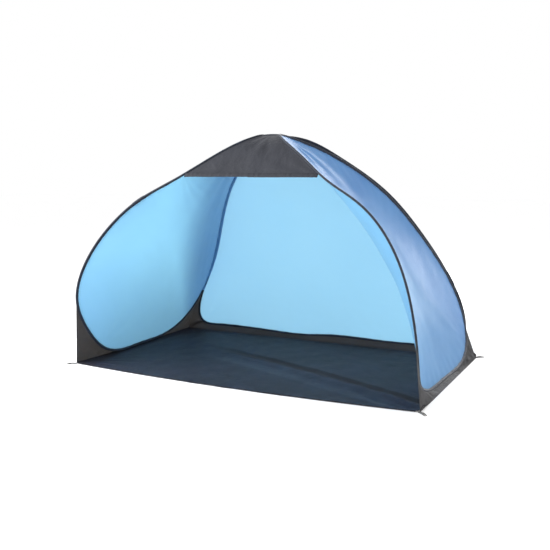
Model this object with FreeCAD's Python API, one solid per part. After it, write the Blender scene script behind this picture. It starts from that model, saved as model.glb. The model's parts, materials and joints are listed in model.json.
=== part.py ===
# Pop up beach tent: three sprung steel hoops in fabric sleeves, two side wings,
# a back panel, a tub floor with corner gussets and a small awning at the ridge.
# Origin: middle of the floor sheet, on the ground. +X right, +Y to the back, +Z up.
import FreeCAD, Part
import math
import os

Vector = FreeCAD.Vector

# Driving dimensions, in millimetres.
WIDTH = 2000.0            # floor, corner to corner from side to side
DEPTH = 1170.0            # floor, corner to corner from front to back
HEIGHT = 1283.0           # ground to the top of the sleeves

HOOP_WIRE_R = 2.0         # sprung steel wire
FERRULE_R = 3.9           # crimped tube over the wire's two ends
FERRULE_LENGTH = 60.0
FERRULE_WALL_GAP = 0.15   # wire to ferrule
WIRE_END_GAP = 2.0        # between the wire's two ends, inside the ferrule
SLEEVE_GAP = 0.3          # ferrule to sleeve
SLEEVE_WALL = 2.6         # doubled binding tape
PATCH_GAP = 0.3           # sleeve to the patch over its joint
PATCH_WALL = 1.3
PATCH_LENGTH = 75.0
SLEEVE_END_GAP = 6.0      # the sleeve's two ends, under the patch
SEAM_GAP = 4.5            # between the two sleeves of a rear seam

PANEL_THICKNESS = 0.8     # wings, back panel and awning
PANEL_CLEARANCE = 0.8     # sheet edges to a sleeve or its patch
WING_DIP = 12.0           # how far the cut pulls a wing's middle inwards
FLOOR_THICKNESS = 1.2
FLOOR_FRONT_BOW = 50.0    # the front edge's middle, ahead of its corners
CORNER_CUT = 12.0         # clipped floor corner that carries a peg loop
SKIRT_THICKNESS = 1.0
HEM_HEIGHT = 24.0         # awning hem
HEM_THICKNESS = 3.0
SILL_WIDTH = 14.0         # rolled front edge of the floor
SILL_HEIGHT = 4.0
LOOP_LENGTH = 58.0        # webbing peg loops
LOOP_WIDTH = 16.0
LOOP_THICKNESS = 2.4
EYELET_R = 5.0            # the hole that takes a ground peg
EYELET_RIM = 2.4
EYELET_PROUD = 0.6

SLEEVE_BORE_R = FERRULE_R + SLEEVE_GAP
SLEEVE_R = SLEEVE_BORE_R + SLEEVE_WALL
TOP = HEIGHT - SLEEVE_R

# The right wing's hoop, from the ridge down the front edge, along the ground and up
# the rear seam, as shares of half the width, of the depth and of the hoop's height.
WING_SHAPE = [
    (0.050, -0.094, 1.000),
    (0.117, -0.163, 0.975),
    (0.272, -0.244, 0.902),
    (0.451, -0.326, 0.808),
    (0.645, -0.377, 0.722),
    (0.805, -0.432, 0.602),
    (0.919, -0.491, 0.446),
    (0.970, -0.507, 0.287),
    (0.967, -0.445, 0.151),
    (0.951, -0.347, 0.049),
    (0.954, -0.226, 0.011),
    (0.961, -0.056, 0.010),
    (0.970, 0.152, 0.011),
    (0.974, 0.308, 0.033),
    (0.951, 0.440, 0.100),
    (0.900, 0.517, 0.208),
    (0.825, 0.520, 0.342),
    (0.685, 0.417, 0.550),
    (0.506, 0.262, 0.758),
    (0.295, 0.109, 0.903),
    (0.113, -0.011, 0.980),
]
SEAM_FIRST = 15           # the wing's points that the back hoop runs beside
LEFT_JOINT = 4            # where each hoop's ends meet
RIGHT_JOINT = 19
# The back hoop's lower half on the right, from the middle of the ground edge.
BACK_FOOT = [
    (0.000, 0.502, 0.027),
    (0.450, 0.504, 0.027),
    (0.800, 0.505, 0.028),
    (0.882, 0.506, 0.036),
    (0.915, 0.508, 0.062),
    (0.926, 0.512, 0.112),
]
BACK_RIDGE = (0.000, -0.040, 0.994)
BACK_JOINT = 7            # counted round the back hoop
RUN = 50.0                # length of one bend of a hoop
GROUND_CLEARANCE = 1.6    # the lowest sleeve above the floor sheet
FABRIC_GAP = 0.5          # between fabric that moves with a wing and the floor


def place(shares):
    low = SLEEVE_R + FLOOR_THICKNESS + GROUND_CLEARANCE
    z = max(shares[2] * TOP, low)
    return Vector(shares[0] * WIDTH / 2, shares[1] * DEPTH, z)


def mirror(point):
    return Vector(-point.x, point.y, point.z)


def unit(vector):
    return vector * (1.0 / vector.Length)


def walk(line, run):
    # Points a set distance apart along a finely divided line.
    out = [line[0]]
    for a, b in zip(line, line[1:]):
        while (b - out[-1]).Length >= run:
            low, high = 0.0, 1.0
            for _ in range(40):
                middle = (low + high) / 2
                if (a + (b - a) * middle - out[-1]).Length < run:
                    low = middle
                else:
                    high = middle
            out.append(a + (b - a) * high)
    return out


def bends(points):
    # A closed hoop as tangent arcs of equal span.
    spline = Part.BSplineCurve()
    spline.interpolate(Points=points, PeriodicFlag=True)
    edge = spline.toShape()
    line = edge.discretize(Number=3001)
    count = int(round(edge.Length / RUN))
    low, high = 0.9 * edge.Length / count, 1.01 * edge.Length / count
    for _ in range(45):
        run = (low + high) / 2
        if len(walk(line, run)) > count:
            low = run
        else:
            high = run
    corners = walk(line, low)[:count]
    corners[0] = line[0]
    edges = []
    for i in range(count):
        before, here, after = corners[i - 1], corners[i], corners[(i + 1) % count]
        start, end = (before + here) * 0.5, (here + after) * 0.5
        chord = (start + end) * 0.5
        leg = (start - here).Length
        half = math.acos(min(1.0, (chord - here).Length / leg))
        radius = leg * math.tan(half)
        crown = here + unit(chord - here) * (leg / math.cos(half) - radius)
        edges.append(Part.Arc(start, crown, end).toShape())
    return edges


def pipe(edges, outer, inner=0.0):
    # A tube or rod along tangent arcs, made with its seam at the first arc's start.
    start = edges[0].firstVertex().Point
    along = edges[0].tangentAt(edges[0].FirstParameter)
    section = Part.Face(Part.Wire(Part.Circle(start, along, outer).toShape()))
    if inner:
        hole = Part.Face(Part.Wire(Part.Circle(start, along, inner).toShape()))
        section = section.cut(hole).Faces[0]
    return Part.Wire(edges).makePipe(section)


def slab(point, along, length, radius):
    return Part.makeCylinder(radius, length, point - along * (length / 2), along)


class Hoop:
    """One closed hoop: its arcs, its joint and the membrane that it stretches."""

    def __init__(self, points, joint):
        self.edges = bends(points)
        # The ends meet where two bends join, nearest to the point asked for.
        ends = [edge.lastVertex().Point for edge in self.edges]
        last = min(range(len(ends)), key=lambda i: (ends[i] - points[joint]).Length)
        self.joint = ends[last]
        self.along = self.edges[last].tangentAt(self.edges[last].LastParameter)
        self.ring = self.edges[last + 1 :] + self.edges[: last + 1]
        self.line = []
        for edge in self.edges:
            self.line += edge.discretize(Number=5)[:-1]
        self.middle = Vector(0, 0, 0)
        for point in self.line:
            self.middle += point * (1.0 / len(self.line))
        self.waves = self.harmonics(60)

    def harmonics(self, count):
        # The hoop as a sum of waves round a disc; each wave fades towards the middle.
        total = len(self.line)
        waves = []
        for k in range(1, count + 1):
            a, b = Vector(0, 0, 0), Vector(0, 0, 0)
            for i, point in enumerate(self.line):
                turn = 2 * math.pi * k * i / total
                a += point * (2 * math.cos(turn) / total)
                b += point * (2 * math.sin(turn) / total)
            waves.append((a, b))
        return waves

    def normal(self):
        # The mean plane's direction, from the loop's own area.
        out = Vector(0, 0, 0)
        for a, b in zip(self.line, self.line[1:] + self.line[:1]):
            out += (a - self.middle).cross(b - self.middle)
        out = unit(out)
        return out if out.x + out.y > 0 else out * -1.0

    def stretched(self, reach, turn, dip):
        # A point of the fabric: reach runs from 0 in the middle to 1 at the hoop.
        point = Vector(self.middle)
        for k, (a, b) in enumerate(self.waves, 1):
            fade = reach ** k
            point += a * (fade * math.cos(k * turn)) + b * (fade * math.sin(k * turn))
        return point - self.normal_kept * (dip * (1 - reach * reach))

    def spread(self, turn, dip):
        # How fast the fabric runs away from the hoop, square to it, as reach falls.
        inward = self.stretched(1.0, turn, dip) - self.stretched(0.99, turn, dip)
        along = self.stretched(1.0, turn + 0.01, dip)
        along = unit(along - self.stretched(1.0, turn - 0.01, dip))
        return 100 * (inward - along * inward.dot(along)).Length

    def panel(self, dip, edge_gap, thickness, steps=26):
        # The fabric as one sheet with four sides, cut short of the sleeve all round.
        self.normal_kept = self.normal()
        grid = []
        for i in range(steps + 1):
            u = math.sin(math.pi / 2 * (2 * i / steps - 1))
            row = []
            for j in range(steps + 1):
                v = math.sin(math.pi / 2 * (2 * j / steps - 1))
                x = u * math.sqrt(1 - v * v / 2)
                y = v * math.sqrt(1 - u * u / 2)
                reach = min(1.0, math.hypot(x, y))
                turn = math.atan2(y, x)
                trim = 1 - edge_gap / self.spread(turn, dip)
                row.append(self.stretched(reach * trim, turn, dip))
            grid.append(row)
        sheet = Part.BSplineSurface()
        sheet.interpolate(grid)
        face = sheet.toShape()
        face.translate(self.normal_kept * (-thickness / 2))
        return face.extrude(self.normal_kept * thickness)

    def parts(self, name, dip):
        cut = slab(self.joint, self.along, WIRE_END_GAP, SLEEVE_R + 1)
        out = {name + "_hoop": pipe(self.ring, HOOP_WIRE_R).cut(cut)}
        near = [self.ring[-1], self.ring[0]]
        ferrule = pipe(near, FERRULE_R, HOOP_WIRE_R + FERRULE_WALL_GAP)
        keep = slab(self.joint, self.along, FERRULE_LENGTH, 4 * SLEEVE_R)
        out[name + "_hoop_ferrule"] = ferrule.common(keep)
        cut = slab(self.joint, self.along, SLEEVE_END_GAP, SLEEVE_R + 1)
        out[name + "_sleeve"] = pipe(self.ring, SLEEVE_R, SLEEVE_BORE_R).cut(cut)
        bore = SLEEVE_R + PATCH_GAP
        patch = pipe(near, bore + PATCH_WALL, bore)
        keep = slab(self.joint, self.along, PATCH_LENGTH, 4 * SLEEVE_R)
        out[name + "_sleeve_patch"] = patch.common(keep)
        out[name + "_panel"] = self.panel(
            dip, bore + PATCH_WALL + PANEL_CLEARANCE, PANEL_THICKNESS
        )
        return out


def curve(points):
    spline = Part.BSplineCurve()
    spline.interpolate(Points=points)
    return spline.toShape()


def ruled(first, second, lift):
    # A thin sheet stretched between two lines of points.
    sheet = Part.makeRuledSurface(curve(first), curve(second))
    return sheet.extrude(lift)


def between(line, start, end, step):
    # Every so many points of a closed line, from the one nearest start to end.
    a = min(range(len(line)), key=lambda i: (line[i] - start).Length)
    b = min(range(len(line)), key=lambda i: (line[i] - end).Length)
    if b < a:
        b += len(line)
    count = max(1, min(b - a, max(3, (b - a) // step)))
    picks = [a + round((b - a) * i / count) for i in range(count + 1)]
    return [line[i % len(line)] for i in picks]


def clear_of(points, targets, gap):
    # A hoop's points moved square to the hoop, each towards its own target.
    out = []
    for i, point in enumerate(points):
        before, after = points[max(i - 1, 0)], points[min(i + 1, len(points) - 1)]
        along = unit(after - before)
        way = targets[i] - point
        out.append(point + unit(way - along * way.dot(along)) * gap)
    return out


def mirrored(shape):
    return shape.mirror(Vector(0, 0, 0), Vector(1, 0, 0))


def eased(start, end, share):
    return start + (end - start) * share


wing_points = [place(p) for p in WING_SHAPE]
back_out = unit(Vector(0, TOP, DEPTH / 2))
seam = wing_points[SEAM_FIRST:]
seam_pitch = 2 * SLEEVE_R + SEAM_GAP
back_side = []
for i, point in enumerate(seam):
    after = seam[i + 1] if i + 1 < len(seam) else wing_points[0]
    along = unit(after - wing_points[SEAM_FIRST + i - 1])
    across = unit(back_out - along * back_out.dot(along))
    back_side.append(point + across * seam_pitch)
back_foot = [place(p) for p in BACK_FOOT]
half = back_foot[1:] + back_side
back_points = [back_foot[0]] + half + [place(BACK_RIDGE)]
back_points += [mirror(p) for p in reversed(half)]

right = Hoop(wing_points, RIGHT_JOINT)
left = Hoop([mirror(p) for p in wing_points], LEFT_JOINT)
back = Hoop(back_points, BACK_JOINT)
plain = Hoop(wing_points, 0)

nodes = {}
nodes.update(right.parts("right_wing", WING_DIP))
nodes.update(left.parts("left_wing", WING_DIP))
nodes.update(back.parts("back", 0.0))

# Floor: one sheet with a bowed front edge and clipped corners.
half_w, half_d = WIDTH / 2, DEPTH / 2
cut = CORNER_CUT
front_left = Vector(-half_w + cut, -half_d, 0)
front_right = Vector(half_w - cut, -half_d, 0)
bow = Part.Arc(front_left, Vector(0, -half_d - FLOOR_FRONT_BOW, 0), front_right)
corners = [
    front_right,
    Vector(half_w, -half_d + cut, 0),
    Vector(half_w, half_d - cut, 0),
    Vector(half_w - cut, half_d, 0),
    Vector(-half_w + cut, half_d, 0),
    Vector(-half_w, half_d - cut, 0),
    Vector(-half_w, -half_d + cut, 0),
    front_left,
]
outline = Part.Wire([bow.toShape()] + Part.makePolygon(corners).Edges)
nodes["floor_sheet"] = Part.Face(outline).extrude(Vector(0, 0, FLOOR_THICKNESS))

# Front sill: the floor's rolled front hem, lying on the sheet's bowed edge.
lift = Vector(0, 0, FLOOR_THICKNESS)
inner_bow = Part.Arc(
    front_left + Vector(2 * cut, SILL_WIDTH, 0) + lift,
    Vector(0, -half_d - FLOOR_FRONT_BOW + SILL_WIDTH, 0) + lift,
    front_right + Vector(-2 * cut, SILL_WIDTH, 0) + lift,
)
outer_bow = Part.Arc(
    front_left + Vector(2 * cut, 0, 0) + lift,
    Vector(0, -half_d - FLOOR_FRONT_BOW + 1, 0) + lift,
    front_right + Vector(-2 * cut, 0, 0) + lift,
)
rim = Part.makeRuledSurface(outer_bow.toShape(), inner_bow.toShape())
nodes["front_sill"] = rim.extrude(Vector(0, 0, SILL_HEIGHT))

# Back skirt: joins the back panel's bottom sleeve to the floor.
foot = back_foot[0]
skirt_top = foot.z - SLEEVE_R - PANEL_CLEARANCE
skirt_length = 2 * (back_foot[3].x - SLEEVE_R)
nodes["back_skirt"] = Part.makeBox(
    skirt_length,
    SKIRT_THICKNESS,
    skirt_top - FLOOR_THICKNESS,
    Vector(-skirt_length / 2, half_d - 2 * cut, FLOOR_THICKNESS),
)

# Side skirts and gussets, on the right and mirrored to the left.
edge_x = half_w - 1.0
ground_z = FLOOR_THICKNESS + FABRIC_GAP
off_sleeve = SLEEVE_R + 2 * PANEL_CLEARANCE
rise = Vector(0, 0, SKIRT_THICKNESS)

front_tack = Vector(edge_x, -half_d + 2 * cut, ground_z)
rear_tack = Vector(edge_x, half_d - 2 * cut, ground_z)
front_turn = wing_points[10]
rear_turn = wing_points[12]
low_run = between(plain.line, front_turn, rear_turn, 12)
inner = [Vector(p.x + off_sleeve, p.y, p.z - SLEEVE_R + 1) for p in low_run]
outer = [Vector(edge_x, p.y, ground_z) for p in low_run]
skirt = ruled(inner, outer, rise)

front_arc = between(plain.line, wing_points[7], front_turn - Vector(0, 9, 0), 6)
count = len(front_arc) - 1
tack_line = [
    eased(front_tack, Vector(edge_x, front_turn.y - 9, ground_z), (i / count) ** 2)
    for i in range(count + 1)
]
hem_line = clear_of(front_arc, tack_line, off_sleeve)
front_gusset = ruled(hem_line, tack_line, rise)

rear_end = eased(wing_points[14], wing_points[15], 0.45)
rear_arc = between(plain.line, rear_turn + Vector(0, 9, 0), rear_end, 6)
count = len(rear_arc) - 1
rear_line = [
    eased(Vector(edge_x, rear_turn.y + 9, ground_z), rear_tack, 1 - (1 - i / count) ** 2)
    for i in range(count + 1)
]
hem_line = clear_of(rear_arc, rear_line, off_sleeve)
rear_gusset = ruled(hem_line, rear_line, rise)

# Corner webs: between the back hoop's lower corner and the wing's, down to the floor.
back_arc = between(back.line, back_foot[3], back_side[0], 3)
back_arc.reverse()
count = len(back_arc) - 1
wing_arc = between(plain.line, wing_points[14], wing_points[15], 2)
wing_arc.reverse()
tack = Vector(edge_x - cut, half_d - 2, ground_z)
outer_web = []
for i in range(count + 1):
    share = i / count * 1.6
    if share <= 1:
        outer_web.append(wing_arc[round(share * (len(wing_arc) - 1))])
    else:
        outer_web.append(eased(wing_arc[-1], tack, (share - 1) / 0.6))
web_out = clear_of(outer_web, back_arc, off_sleeve + 1)
web_out = [
    eased(p, tack, max(0.0, (i / count * 1.6 - 1) / 0.6) ** 2)
    for i, p in enumerate(web_out)
]
web_in = clear_of(back_arc, outer_web, off_sleeve + 1)
corner_web = ruled(web_in, web_out, Vector(0, SKIRT_THICKNESS, 0))

pieces = {
    "skirt": skirt,
    "front_gusset": front_gusset,
    "rear_gusset": rear_gusset,
    "corner_web": corner_web,
}
for name, shape in pieces.items():
    nodes["right_" + name] = shape
    nodes["left_" + name] = mirrored(shape)

# Awning: a sheet stretched between the two wings' front edges, with a straight hem.
hem_corner = Vector(0.388 * half_w, -0.3077 * DEPTH, 0.8345 * TOP)
ridge_end = eased(wing_points[0], wing_points[20], 0.28)
side_line = between(plain.line, wing_points[0], hem_corner, 3)
rear_line = between(plain.line, ridge_end, wing_points[0], 3)[:-1]
side = rear_line + side_line
side = clear_of(side, [Vector(0, p.y, p.z) for p in side], off_sleeve + 1)
grid = []
for point in side:
    grid.append([Vector(point.x * t, point.y, point.z) for t in (-1, -0.5, 0, 0.5, 1)])
sheet = Part.BSplineSurface()
sheet.interpolate(grid)
canopy_up = unit(Vector(0, -0.66, 0.75))
nodes["awning"] = sheet.toShape().extrude(canopy_up * PANEL_THICKNESS)
low = side[-1]
hem_slope = unit(side[-1] - side[-2])
hem_slope = unit(Vector(0, hem_slope.y, hem_slope.z))
hem_width = 2 * (low.x - 2.0)
face = Part.Face(
    Part.makePolygon(
        [
            Vector(-hem_width / 2, low.y, low.z),
            Vector(-hem_width / 2, low.y, low.z) + hem_slope * HEM_HEIGHT,
            Vector(-hem_width / 2, low.y, low.z)
            + hem_slope * HEM_HEIGHT
            + canopy_up * HEM_THICKNESS,
            Vector(-hem_width / 2, low.y, low.z) + canopy_up * HEM_THICKNESS,
            Vector(-hem_width / 2, low.y, low.z),
        ]
    )
)
nodes["awning_hem"] = face.extrude(Vector(hem_width, 0, 0))

# Peg loops: a webbing tab on each clipped floor corner, with a metal eyelet.
for name, sx, sy in (
    ("front_left", -1, -1),
    ("front_right", 1, -1),
    ("back_left", -1, 1),
    ("back_right", 1, 1),
):
    out = unit(Vector(sx, sy, 0))
    turn = math.degrees(math.atan2(out.y, out.x))
    root = Vector(sx * (half_w - cut / 2), sy * (half_d - cut / 2), 0)
    if sy < 0:
        # The front loops move with the wings.
        root += out * FABRIC_GAP
    web = Part.makeBox(
        LOOP_LENGTH, LOOP_WIDTH, LOOP_THICKNESS, Vector(0, -LOOP_WIDTH / 2, 0)
    )
    hole_at = Vector(LOOP_LENGTH - LOOP_WIDTH / 2 - 2, 0, 0)
    rim_r = EYELET_R + EYELET_RIM
    web = web.cut(Part.makeCylinder(rim_r, LOOP_THICKNESS, hole_at))
    ring = Part.makeCylinder(rim_r, LOOP_THICKNESS + EYELET_PROUD, hole_at)
    ring = ring.cut(
        Part.makeCylinder(EYELET_R, LOOP_THICKNESS + EYELET_PROUD, hole_at)
    )
    for label, shape in (("_peg_loop", web), ("_eyelet", ring)):
        shape.rotate(Vector(0, 0, 0), Vector(0, 0, 1), turn)
        shape.translate(root)
        nodes[name + label] = shape

os.makedirs("parts", exist_ok=True)
for name, shape in nodes.items():
    if shape.ShapeType == "Compound" and len(shape.Solids) == 1:
        shape = shape.Solids[0]
    if shape.Volume < 0:
        shape.reverse()
    shape.exportStep("parts/" + name + ".step")
    print(name, shape.ShapeType, len(shape.Solids), shape.isValid(), round(shape.Volume))
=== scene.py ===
# Pop up beach tent: the finished cloth, sleeves, hems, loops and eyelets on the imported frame.
# Metres, in the frame's axes: +X right, +Y to the back, +Z up, the floor's middle at the origin.
import json
import math

import bmesh
import bpy
import numpy as np
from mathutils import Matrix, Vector


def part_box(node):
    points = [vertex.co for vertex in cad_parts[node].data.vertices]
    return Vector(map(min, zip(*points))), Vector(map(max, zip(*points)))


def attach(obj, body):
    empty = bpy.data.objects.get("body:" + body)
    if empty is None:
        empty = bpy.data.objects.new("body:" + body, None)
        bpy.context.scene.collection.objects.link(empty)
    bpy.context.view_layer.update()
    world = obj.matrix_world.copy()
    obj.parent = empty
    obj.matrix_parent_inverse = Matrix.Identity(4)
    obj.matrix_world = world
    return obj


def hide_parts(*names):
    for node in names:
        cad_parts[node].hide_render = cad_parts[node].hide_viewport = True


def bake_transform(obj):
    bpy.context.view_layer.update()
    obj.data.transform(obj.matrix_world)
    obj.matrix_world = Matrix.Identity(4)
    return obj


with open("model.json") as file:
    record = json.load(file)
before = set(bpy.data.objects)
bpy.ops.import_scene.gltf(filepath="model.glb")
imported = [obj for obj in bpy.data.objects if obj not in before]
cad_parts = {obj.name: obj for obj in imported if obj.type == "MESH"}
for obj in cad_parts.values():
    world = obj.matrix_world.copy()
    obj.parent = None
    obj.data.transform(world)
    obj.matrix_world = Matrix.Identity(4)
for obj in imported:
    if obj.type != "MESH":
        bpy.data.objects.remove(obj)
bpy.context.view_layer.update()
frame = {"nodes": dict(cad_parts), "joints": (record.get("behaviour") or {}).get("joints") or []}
nodes = frame["nodes"]

# ---------------------------------------------------------------- sizes of the sewn work
SLEEVE_ROUND = 0.0058     # the part of the sleeve that holds the wire
SLEEVE_TAIL = 0.0110      # wire to the sleeve's stitched edge
PATCH_ROUND = 0.0080
CLOTH_EDGE = 0.0065       # wire to the raw edge of the cloth, inside the sleeve's tail
CLOTH_THICK = 0.0006
FLOOR_THICK = 0.0010
FLOOR_MIDDLE = 0.0007     # the floor sheet's middle, where it lies flat
WIRE_ROUND = 0.0020
FERRULE_ROUND = 0.0039
RING_REACH = 0.0055       # the wire mesh's points this near one another make one ring
DOUBLED = 0.00001         # points this near are one point
HEM_TURN = 0.0140         # doubled cloth along every edge
STITCH = 0.0042
WING_THREAD = 0.0011
FLOOR_THREAD = 0.0018
WAVES = 60                # harmonics kept when a hoop is smoothed
SILL_BACK = 0.0062        # the rolled front edge's middle, behind the floor's front line
SILL_MIDDLE = 0.0036      # and above the ground
FACING_CROWN = 0.0115     # the seam facing's rise between two sleeves that touch
FACING_MOST = 0.024       # and at most, where the sleeves are apart
FACING_END = 10           # picks that the facing stops short of the ridge
BINDING_WIDE = 0.0068     # half the ridge binding's width and thickness
BINDING_THICK = 0.0050
# the least share of its rectangle that a sheet may be given as
LEAST_AREA = 0.3          # the least share of its rectangle that a strip's worked-out area is taken as
SEAM_SLOPE = 0.71         # the rear seams lie along y + 0.71 z, seen from the side; the wings' painted shade follows them
SEAM_PLACE = 0.83
CREST_PLACE = 0.112       # the floor's fold, and its painted shade and light: its line is a gentle curve across the floor
CREST_SLOPE = 0.36
CREST_BEND = 0.055

floor_low, floor_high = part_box("floor_sheet")
HALF_WIDTH = floor_high.x
HALF_DEPTH = floor_high.y
FRONT_MIDDLE = floor_low.y
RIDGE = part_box("right_wing_hoop")[1].z - 0.002
CORNER_CUT = 0.012
FLOOR_EDGE = HALF_WIDTH - 0.003   # where the grey cloth meets the floor's side edge
FLOOR_FACE = 0.0009               # just above the floor sheet's underside
FRONT_TACK = -HALF_DEPTH + 0.006  # the gussets' outer ends
REAR_TACK = HALF_DEPTH - 0.012


def at(side, x, y, z):
    """A place given as shares of half the width, of the depth and of the ridge's height."""
    return np.array((side * x * HALF_WIDTH, y * 2 * HALF_DEPTH, z * RIDGE))


def unit(vector):
    return vector / np.linalg.norm(vector, axis=-1, keepdims=True)


def ease(values, low, high):
    """0 below low, 1 above high, smooth between them."""
    share = np.clip((values - low) / (high - low), 0, 1)
    return share * share * (3 - 2 * share)


def run_along(line):
    """How far along a line each of its points is."""
    return np.append(0, np.cumsum(np.linalg.norm(np.diff(line, axis=0), axis=1)))


def ripple(points, length, seed):
    """A smooth, uneven surface of about unit height, made of a few waves."""
    rng = np.random.default_rng(seed)
    height = 0
    for _ in range(10):
        way = unit(rng.normal(size=3))
        turns = points @ way / (length * rng.uniform(0.6, 1.6))
        height = height + np.sin(2 * math.pi * turns + rng.uniform(0, 2 * math.pi))
    return height / 4.0


def crumple(points, length, seed):
    """Sharp-crested creases, as in coated cloth that has been folded small."""
    ridges = 1 - np.abs(ripple(points, length, seed))
    fine = 1 - np.abs(ripple(points, length * 0.45, seed + 50))
    return ridges * 0.7 + fine * 0.3 - 0.5


def fans(points, normal, folds):
    """Shallow folds that fan out from a corner, each (start, end, height, spread, count)."""
    lift = np.zeros(points.shape[:-1])
    for start, end, height, spread, count in folds:
        reach = np.linalg.norm(end - start)
        way = (end - start) / reach
        side = np.cross(normal, way)
        offset = points - start
        along, across = offset @ way, offset @ side
        far = np.hypot(along, across)
        angle = np.arctan2(across, along)
        strength = np.exp(-((far / reach) ** 2) - (angle / spread) ** 2)
        strength *= 1 - np.exp(-((far / 0.06) ** 2))
        lift += height * strength * np.sin(angle / spread * count + far * 11)
    return lift


# ---------------------------------------------------------------- hoops, from the wires
class Hoop:
    """A wire's middle line and the cloth that it stretches."""

    def __init__(self, node, count=720):
        rings = self.ring_centres(node)
        closed = np.vstack([rings, rings[:1]])
        run = run_along(closed)
        steps = np.linspace(0, run[-1], count, endpoint=False)
        line = np.stack([np.interp(steps, run, closed[:, i]) for i in range(3)], axis=1)
        self.spectrum = np.fft.rfft(line, axis=0) / count
        self.spectrum[WAVES:] = 0
        self.middle = self.spectrum[0].real
        self.count = count
        self.length = run[-1]
        self.line = self.ring(1.0)
        after = np.roll(self.line, -1, axis=0)
        area = np.cross(self.line - self.middle, after - self.middle).sum(axis=0)
        self.normal = unit(area)
        outwards = -self.normal[0] if node == "left_wing_hoop" else self.normal[:2].sum()
        if outwards < 0:
            self.normal = -self.normal
        self.along = unit(after - np.roll(self.line, 1, axis=0))
        inward = self.ring(0.985) - self.line
        inward -= self.along * (inward * self.along).sum(axis=1, keepdims=True)
        self.spread = np.linalg.norm(inward, axis=1) / 0.015
        self.inward = unit(inward)
        self.turned = np.cross(self.along, self.inward)

    @staticmethod
    def ring_centres(node):
        points = np.array([v.co for v in nodes[node].data.vertices])
        points = np.unique(np.round(points, 6), axis=0)
        left = np.ones(len(points), bool)
        here = points[0]
        centres = []
        while left.any():
            rest = np.flatnonzero(left)
            seed = points[rest[np.argmin(np.linalg.norm(points[rest] - here, axis=1))]]
            near = rest[np.linalg.norm(points[rest] - seed, axis=1) < RING_REACH]
            left[near] = False
            if len(near) >= 8:
                here = points[near].mean(axis=0)
                centres.append(here)
        return np.array(centres)

    def ring(self, reach):
        """The cloth's points at one share of the way from the middle to the wire."""
        fade = reach ** np.arange(len(self.spectrum))[:, None]
        return np.fft.irfft(self.spectrum * fade, n=self.count, axis=0) * self.count

    def cloth(self, reach, turn):
        """The cloth at any shares of the way out and round."""
        waves = np.arange(1, WAVES)
        fade = reach[..., None] ** waves
        spin = np.exp(1j * waves * turn[..., None]) * fade
        return self.middle + 2 * (spin @ self.spectrum[1:WAVES]).real

    def nearest(self, point):
        return int(np.argmin(np.linalg.norm(self.line - point, axis=1)))

    def stretch(self, start, end, count, way=0):
        """Indices along the wire from the place nearest start to the place nearest end."""
        a, b = self.nearest(start), self.nearest(end)
        if way == 0:
            way = 1 if (b - a) % self.count < (a - b) % self.count else -1
        span = (b - a) % self.count if way > 0 else -((a - b) % self.count)
        return np.round(a + np.linspace(0, span, count)).astype(int) % self.count


right_hoop = Hoop("right_wing_hoop")
left_hoop = Hoop("left_wing_hoop")
back_hoop = Hoop("back_hoop")

# ---------------------------------------------------------------- the wings' hinges, and places worked out round them
BODY = "tent_body"
SEAM_HOLD = 0.12          # how far out from a hinge the turn's start is placed
BEND_RUN = 0.45           # and how much farther its end is placed


def with_body(piece):
    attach(piece, BODY)


class Fold:
    """One wing's hinge, and the places round it where the cloth's turn starts and ends; the cloth is
    not turned here.
    """

    def __init__(self, joint, hoop):
        pivot = np.array(joint["pos_m"])
        axis = unit(np.array(joint["axis"], float))
        self.wing = joint["child"]
        side = math.copysign(1, pivot[0])
        out = hoop.middle - pivot
        out = unit(out - axis * (out @ axis))
        self.start = pivot + out * SEAM_HOLD
        self.end = self.start + out * BEND_RUN
        # The floor's turn is worked out from its middle outwards, to match the wing along its side
        # edge.
        slope = out / BEND_RUN
        edge = -(self.start @ slope)
        middle = -slope[1] * FRONT_MIDDLE
        across = edge + slope[0] * side * HALF_WIDTH - middle
        rise = np.array((side * across / HALF_WIDTH, slope[1], 0))
        self.floor_start = np.array((0.0, FRONT_MIDDLE, 0.0))
        self.floor_end = self.floor_start + rise / (rise @ rise)
        # The awning's turn is worked out from its middle to its sides, to match the wing's front edge.
        low, high = at(side, *AWNING_CORNER), hoop.line[np.argmax(hoop.line[:, 2])]
        at_low, at_high = (low - self.start) @ slope, (high - self.start) @ slope
        gain = (at_low - at_high) / (low[0] - high[0])
        self.awning_start = np.array((high[0] - at_high / gain, 0.0, RIDGE))
        self.awning_end = self.awning_start + np.array((1 / gain, 0.0, 0.0))

    def with_wing(self, piece):
        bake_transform(piece)

    def with_floor(self, piece):
        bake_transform(piece)

    def with_awning(self, piece):
        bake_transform(piece)


# Places on the hoops, as at() takes them.
AWNING_CORNER = (0.388, -0.3077, 0.8345)
GUSSET_TOP = (0.970, -0.507, 0.287)
FRONT_TURN = (0.954, -0.240, 0.012)
REAR_TURN = (0.969, 0.150, 0.011)
REAR_GUSSET_TOP = (0.928, 0.475, 0.149)
WEB_TOP = (0.900, 0.517, 0.208)
WEB_HEAD = (0.905, 0.523, 0.218)
BACK_CORNER = (0.882, 0.506, 0.036)
SEAM_TOP = (0.086, -0.045, 0.990)
AWNING_REAR = (0.083, -0.055, 0.991)
CANOPY_UP = unit(np.array((0.0, -0.66, 0.75)))

joints = {joint["child"]: joint for joint in frame["joints"]}
right_fold = Fold(joints["right_wing"], right_hoop)
left_fold = Fold(joints["left_wing"], left_hoop)


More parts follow.
